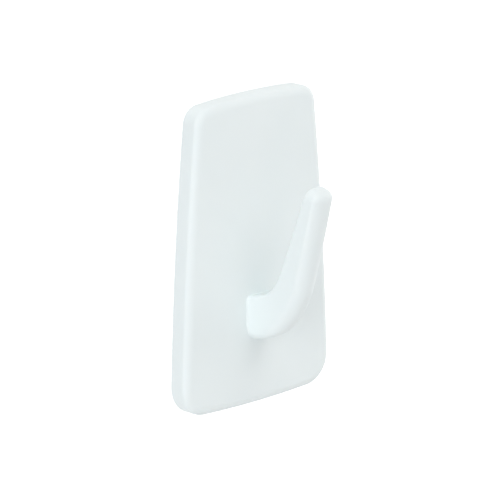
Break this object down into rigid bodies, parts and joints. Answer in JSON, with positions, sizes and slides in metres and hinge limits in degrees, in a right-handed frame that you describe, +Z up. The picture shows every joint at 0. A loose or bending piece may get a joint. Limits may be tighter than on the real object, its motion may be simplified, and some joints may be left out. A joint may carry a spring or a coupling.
{
  "type": "adhesive wall hook",
  "caption": "Slide-on wall hook: a tapered moulded plate with a curved J-hook, a flanged mounting base behind it and a stretch-release adhesive strip with a pull tab.",
  "frame": {"origin": "middle of the adhesive strip's face on the wall", "axes": "+X to the right of someone facing the wall, +Y into the wall, +Z up; the hook reaches out towards -Y"},
  "size_m": [0.0428, 0.0252, 0.0666],
  "materials": {
    "shell_plastic": "satin moulded",
    "base_plastic": "moulded, slightly translucent",
    "strip_foam": "fine closed-cell foam",
    "strip_adhesive": "tacky, faintly glossy",
    "tab_film": "smooth film"
  },
  "bodies": {
    "base": {"mounting_base": "base_plastic", "foam_core": "strip_foam", "wall_adhesive": "strip_adhesive", "base_adhesive": "strip_adhesive"},
    "shell": {"hook_shell": "shell_plastic"},
    "pull_tab": {"tab_foam": "strip_foam", "tab_film_wall": "tab_film", "tab_film_base": "tab_film"}
  },
  "joints": [
    {"name": "shell_slide", "type": "slide", "parent": "base", "child": "shell", "axis": [0, 0, 1], "range_m": [0, 0.055]},
    {"name": "strip_pull", "type": "slide", "parent": "base", "child": "pull_tab", "axis": [0, 0, -1], "range_m": [0, 0.16], "deforming": ["foam_core", "wall_adhesive", "base_adhesive"]}
  ]
}
